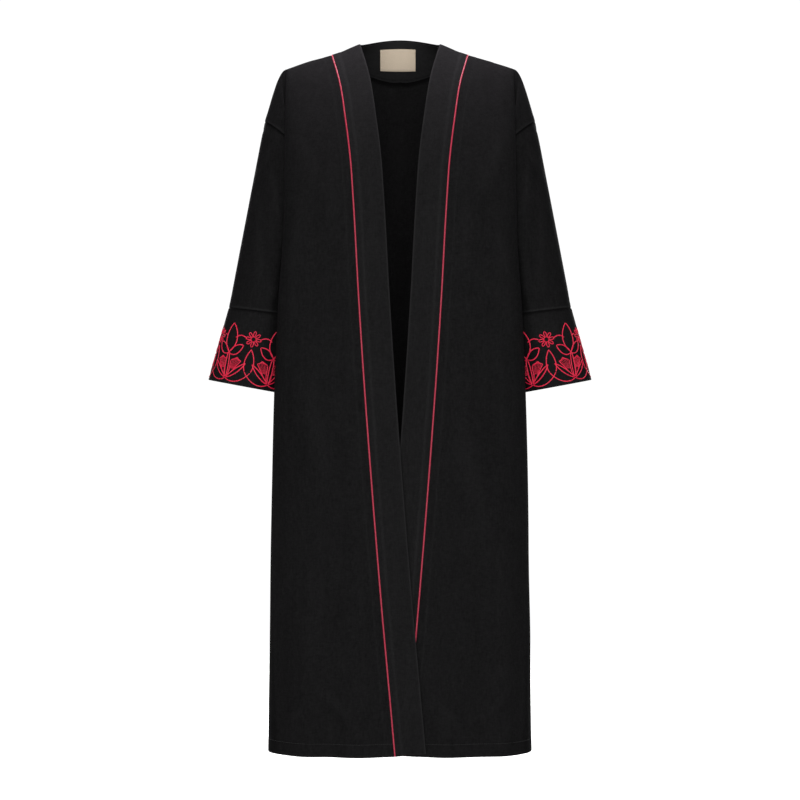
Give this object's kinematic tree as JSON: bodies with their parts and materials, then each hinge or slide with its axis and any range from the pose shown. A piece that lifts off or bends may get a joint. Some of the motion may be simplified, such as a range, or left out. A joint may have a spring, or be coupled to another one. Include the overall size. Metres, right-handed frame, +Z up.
{
  "type": "long open-front manteau, a worn garment",
  "caption": "Long open-front black crepe manteau with a piped front band, drop shoulders and wide three-quarter sleeves with embroidered cuffs, filled out as worn.",
  "frame": {"origin": "midway between the two shoulder lines at the neck, where the wearer's shoulders hold the garment", "axes": "+Z up along the garment's length, +Y to the wearer's back, +X to the wearer's left"},
  "size_m": [0.6326, 0.2695, 1.1766],
  "materials": {
    "crepe": "matte black crepe",
    "red_trim": "crimson satin piping and embroidery thread",
    "label_weave": "beige woven satin, bare"
  },
  "bodies": {
    "root": {"front_right": "crepe", "front_left": "crepe", "back": "crepe", "band_right": "crepe", "band_left": "crepe", "band_back_neck": "crepe", "facing_back_neck": "crepe", "sleeve_right": "crepe", "sleeve_left": "crepe", "cuff_right": "crepe", "cuff_left": "crepe", "piping_right": "red_trim", "piping_left": "red_trim", "piping_back_neck": "red_trim", "neck_label": "label_weave"}
  },
  "joints": []
}
